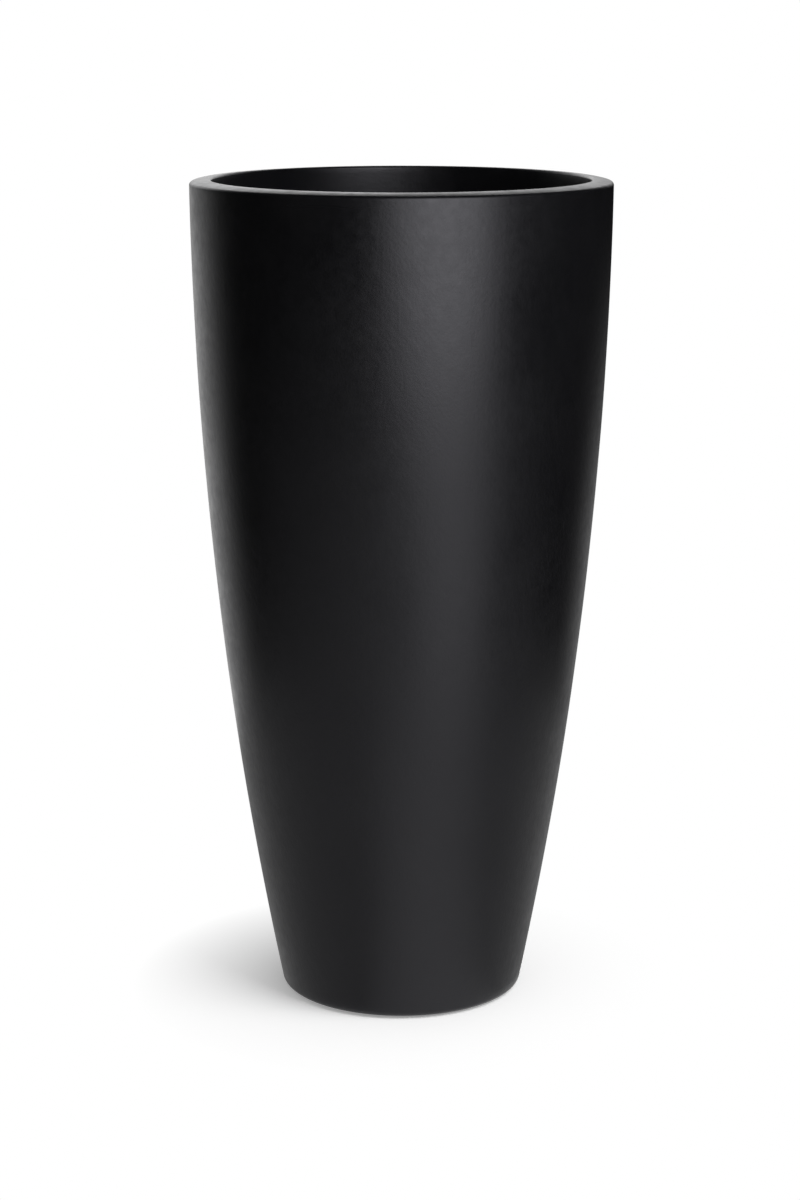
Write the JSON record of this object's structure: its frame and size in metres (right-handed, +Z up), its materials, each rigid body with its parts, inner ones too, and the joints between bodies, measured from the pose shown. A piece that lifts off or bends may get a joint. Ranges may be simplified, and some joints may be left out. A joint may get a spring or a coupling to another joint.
{
  "type": "floor planter",
  "caption": "Tall round tapered floor planter in black glass-fibre laminate, with a wide turned-in rim, a loose planting shelf and a plugged drain.",
  "frame": {"origin": "on the floor, on the planter's own axis, at the underside of the foot pads", "axes": "+Z up along the planter's axis, from the foot to the rim; +X to the right and +Y away from the viewer, with the round form alike on all sides"},
  "size_m": [0.402, 0.402, 0.8],
  "materials": {
    "painted_laminate": "satin black paint on glass-fibre laminate, faint orange peel",
    "raw_laminate": "rough chopped-strand laminate, brushed black",
    "pad_rubber": "matte",
    "plug_rubber": "matte",
    "shelf_plastic": "fine-grained moulded plastic"
  },
  "bodies": {
    "planter": {"body_shell": "painted_laminate", "rim_ring": "painted_laminate", "base_panel": "raw_laminate", "foot_pads": "pad_rubber"},
    "drain_plug": {"drain_plug": "plug_rubber"},
    "planting_shelf": {"planting_shelf": "shelf_plastic"}
  },
  "joints": [
    {"name": "plug_lift", "type": "slide", "parent": "planter", "child": "drain_plug", "axis": [0, 0, 1], "range_m": [0, 0.1]},
    {"name": "shelf_lift", "type": "slide", "parent": "planter", "child": "planting_shelf", "axis": [0, 0, 1], "range_m": [0, 0.43]}
  ]
}
